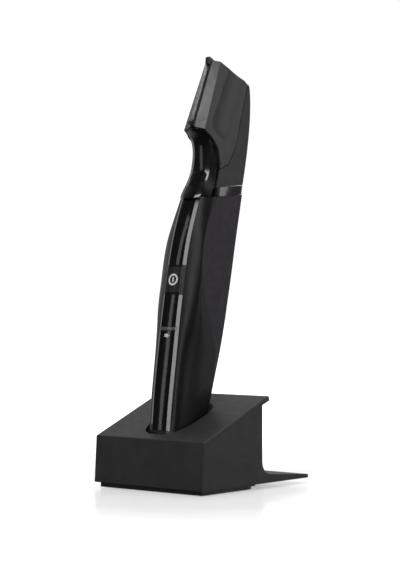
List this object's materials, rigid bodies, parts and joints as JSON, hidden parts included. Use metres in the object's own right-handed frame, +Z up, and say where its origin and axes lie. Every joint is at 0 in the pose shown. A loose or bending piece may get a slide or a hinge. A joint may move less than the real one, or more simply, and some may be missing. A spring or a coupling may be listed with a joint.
{
  "type": "body groomer",
  "caption": "Slim cordless body groomer with a long straight blade on a lift-off cassette, leaning in a wedge-shaped charging stand with a thin rear foot.",
  "frame": {"origin": "middle of the object's footprint, on the surface it stands on", "axes": "+Z up, -Y towards the front of the stand and the blade, +X to the right seen from the front"},
  "size_m": [0.0666, 0.0798, 0.2053],
  "materials": {
    "shell_black": "fine matte moulding",
    "frame_black": "satin",
    "button_black": "satin",
    "grip_soft": "soft-touch",
    "gloss_black": "high gloss",
    "gloss_neck": "high gloss",
    "cap_black": "gloss",
    "head_grey": "satin",
    "cassette_grey": "metallic satin",
    "collar_smoke": "smoked gloss",
    "blade_steel": "ground",
    "stand_black": "fine matte moulding",
    "plinth_black": "matte",
    "seal_rubber": "matte",
    "white_print": "printed",
    "lens_smoke": "smoked clear",
    "contact_brass": "plated",
    "board_green": "solder mask",
    "inner_plastic": "moulded",
    "cell_jacket": "sleeved",
    "plain_steel": "plain",
    "winding_copper": "wound",
    "liner_black": "matte"
  },
  "bodies": {
    "stand": {"stand_shell": "stand_black", "stand_base": "plinth_black", "stand_pad": "seal_rubber", "stand_screws": "plain_steel", "ballast_plate": "plain_steel", "cradle_liner": "liner_black", "charge_pins": "contact_brass", "charge_board": "board_green", "inlet_socket": "liner_black", "inlet_contacts": "contact_brass"},
    "groomer": {"handle_shell": "shell_black", "rear_grip": "grip_soft", "front_panel": "gloss_black", "button_frame": "frame_black", "button_seal": "seal_rubber", "indicator_lens": "lens_smoke", "charge_mark": "white_print", "indicator_lamp": "lens_smoke", "end_cap": "cap_black", "charge_terminals": "contact_brass", "end_cap_seal": "seal_rubber", "circuit_board": "board_green", "push_switch": "inner_plastic", "battery_cell": "cell_jacket", "battery_tabs": "plain_steel", "chassis": "inner_plastic", "motor_can": "plain_steel", "motor_end_bell": "inner_plastic", "neck_cover": "gloss_neck", "collar_ring": "collar_smoke", "head_base": "head_grey", "neck_seal": "seal_rubber"},
    "power_button": {"power_button": "button_black", "power_mark": "white_print"},
    "motor_rotor": {"armature": "winding_copper", "motor_shaft": "plain_steel", "eccentric_cam": "inner_plastic"},
    "cassette": {"cassette_housing": "cassette_grey", "lever_pin": "plain_steel", "fixed_blade": "blade_steel", "blade_holder": "inner_plastic", "blade_screws": "plain_steel", "blade_spring": "plain_steel"},
    "drive_lever": {"drive_lever": "inner_plastic"},
    "moving_blade": {"moving_blade": "blade_steel", "blade_carrier": "inner_plastic"}
  },
  "joints": [
    {"name": "groomer_lift", "type": "slide", "parent": "stand", "child": "groomer", "axis": [0, 0.2079, 0.9781], "range_m": [0, 0.06]},
    {"name": "power_press", "type": "slide", "parent": "groomer", "child": "power_button", "axis": [0, 0.9781, -0.2079], "range_m": [0, 0.0006], "stiffness_N_per_m": 2000},
    {"name": "motor_spin", "type": "hinge", "parent": "groomer", "child": "motor_rotor", "pos_m": [0, 0.00333, 0.11171], "axis": [0, 0.2079, 0.9781], "continuous": true},
    {"name": "cassette_lift", "type": "slide", "parent": "groomer", "child": "cassette", "axis": [0, 0.2079, 0.9781], "range_m": [0, 0.05]},
    {"name": "lever_rock", "type": "hinge", "parent": "cassette", "child": "drive_lever", "pos_m": [0, 0.01711, 0.17319], "axis": [1, 0, 0], "range_deg": [-1.3, 1.3]},
    {"name": "blade_stroke", "type": "slide", "parent": "cassette", "child": "moving_blade", "axis": [0, 0.3875, 0.9219], "range_m": [-0.0004, 0.0004]}
  ],
  "couplings": [
    {"joint": "blade_stroke", "follows": "lever_rock", "m_per_rad": -0.0155}
  ]
}
